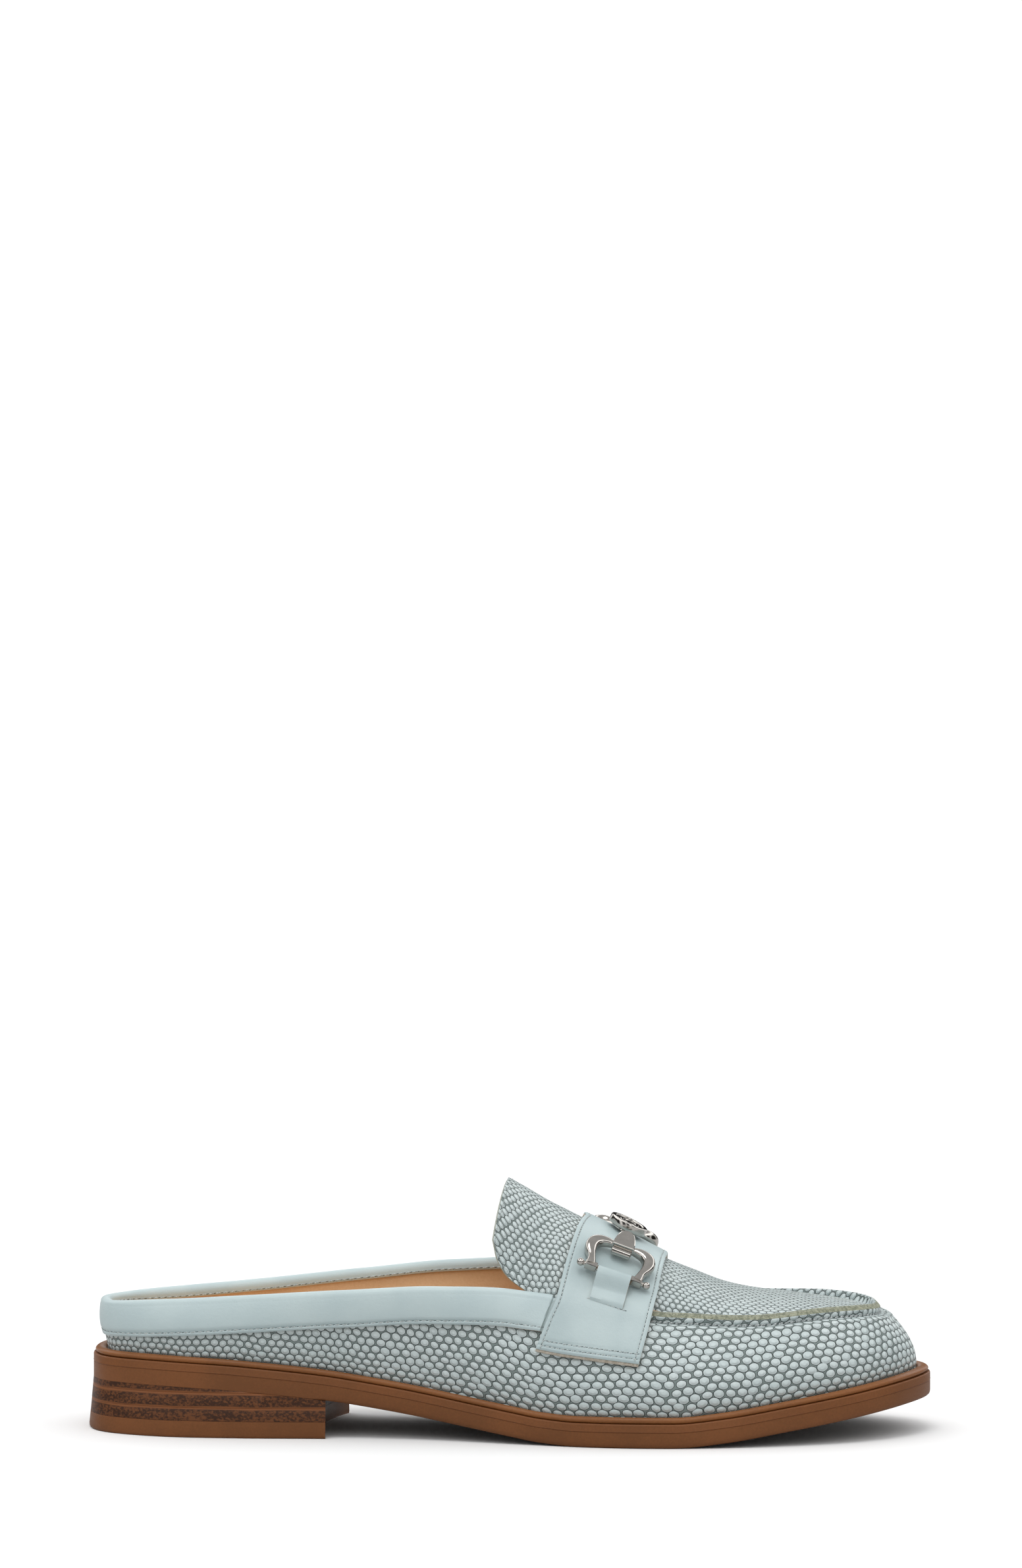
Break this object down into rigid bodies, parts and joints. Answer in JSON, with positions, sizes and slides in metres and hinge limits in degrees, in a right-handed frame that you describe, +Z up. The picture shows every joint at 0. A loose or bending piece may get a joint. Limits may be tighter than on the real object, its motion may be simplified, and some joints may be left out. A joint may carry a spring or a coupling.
{
  "type": "loafer mule",
  "caption": "Loafer mule for the right foot: low-backed upper with a stitched toe and free tongue, saddle strap with a metal bit, collar band, welted sole and low stacked heel.",
  "frame": {"origin": "on the floor under the middle of the whole shoe's footprint box", "axes": "+X to the toe, +Y to the wearer's left, which is the shoe's inner side, +Z up"},
  "size_m": [0.2692, 0.0936, 0.0797],
  "materials": {
    "sole_rubber": "satin moulded brown",
    "heel_stack": "burnished dark leather look in bands",
    "lift_rubber": "satin moulded brown",
    "bead_rubber": "satin moulded brown",
    "insole_suede": "tan suede",
    "lining_suede": "tan suede",
    "lizard_leather": "scale-embossed pale blue, dark between the scales",
    "smooth_leather": "smooth pale blue, fine grain",
    "strap_leather": "smooth pale blue, fine grain",
    "raw_edge": "cut leather edge",
    "thread": "waxed pale grey-blue thread",
    "nickel": "polished nickel"
  },
  "bodies": {
    "root": {"outsole": "sole_rubber", "heel_stack": "heel_stack", "top_lift": "lift_rubber", "welt_bead": "bead_rubber", "insole": "insole_suede", "upper": "lizard_leather", "collar_band": "smooth_leather", "saddle_strap": "strap_leather", "bit_medallion": "nickel", "bit_outer": "nickel", "bit_inner": "nickel", "tab_outer": "strap_leather", "tab_inner": "strap_leather"}
  },
  "joints": []
}
